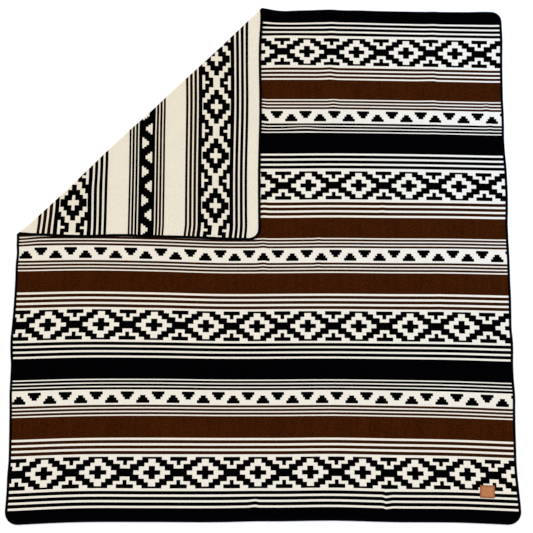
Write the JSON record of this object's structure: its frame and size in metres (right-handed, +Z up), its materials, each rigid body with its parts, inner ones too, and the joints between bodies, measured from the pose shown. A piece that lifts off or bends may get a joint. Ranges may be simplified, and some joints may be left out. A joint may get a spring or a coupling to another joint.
{
  "type": "striped woven blanket",
  "caption": "Rectangular double-faced woven blanket lying flat with a corner turned over, rounded corners, overcast yarn edging and a small leather label.",
  "frame": {"origin": "on the flat underside at the middle of the cloth, on the surface that it lies on", "axes": "+X across the cloth to the right as seen in the picture, +Y along the cloth towards its top edge, where the corner is turned over, +Z up"},
  "size_m": [1.5623, 1.6618, 0.0116],
  "materials": {
    "woven_wool": "brushed wool weave in cream, black and dark brown, with the colours changed over on the back",
    "edging_yarn": "thick black overcast yarn",
    "tan_leather": "smooth tan leather with darker burnished edges"
  },
  "bodies": {
    "root": {"blanket_cloth": "woven_wool", "edge_binding": "edging_yarn", "leather_label": "tan_leather"}
  },
  "joints": []
}
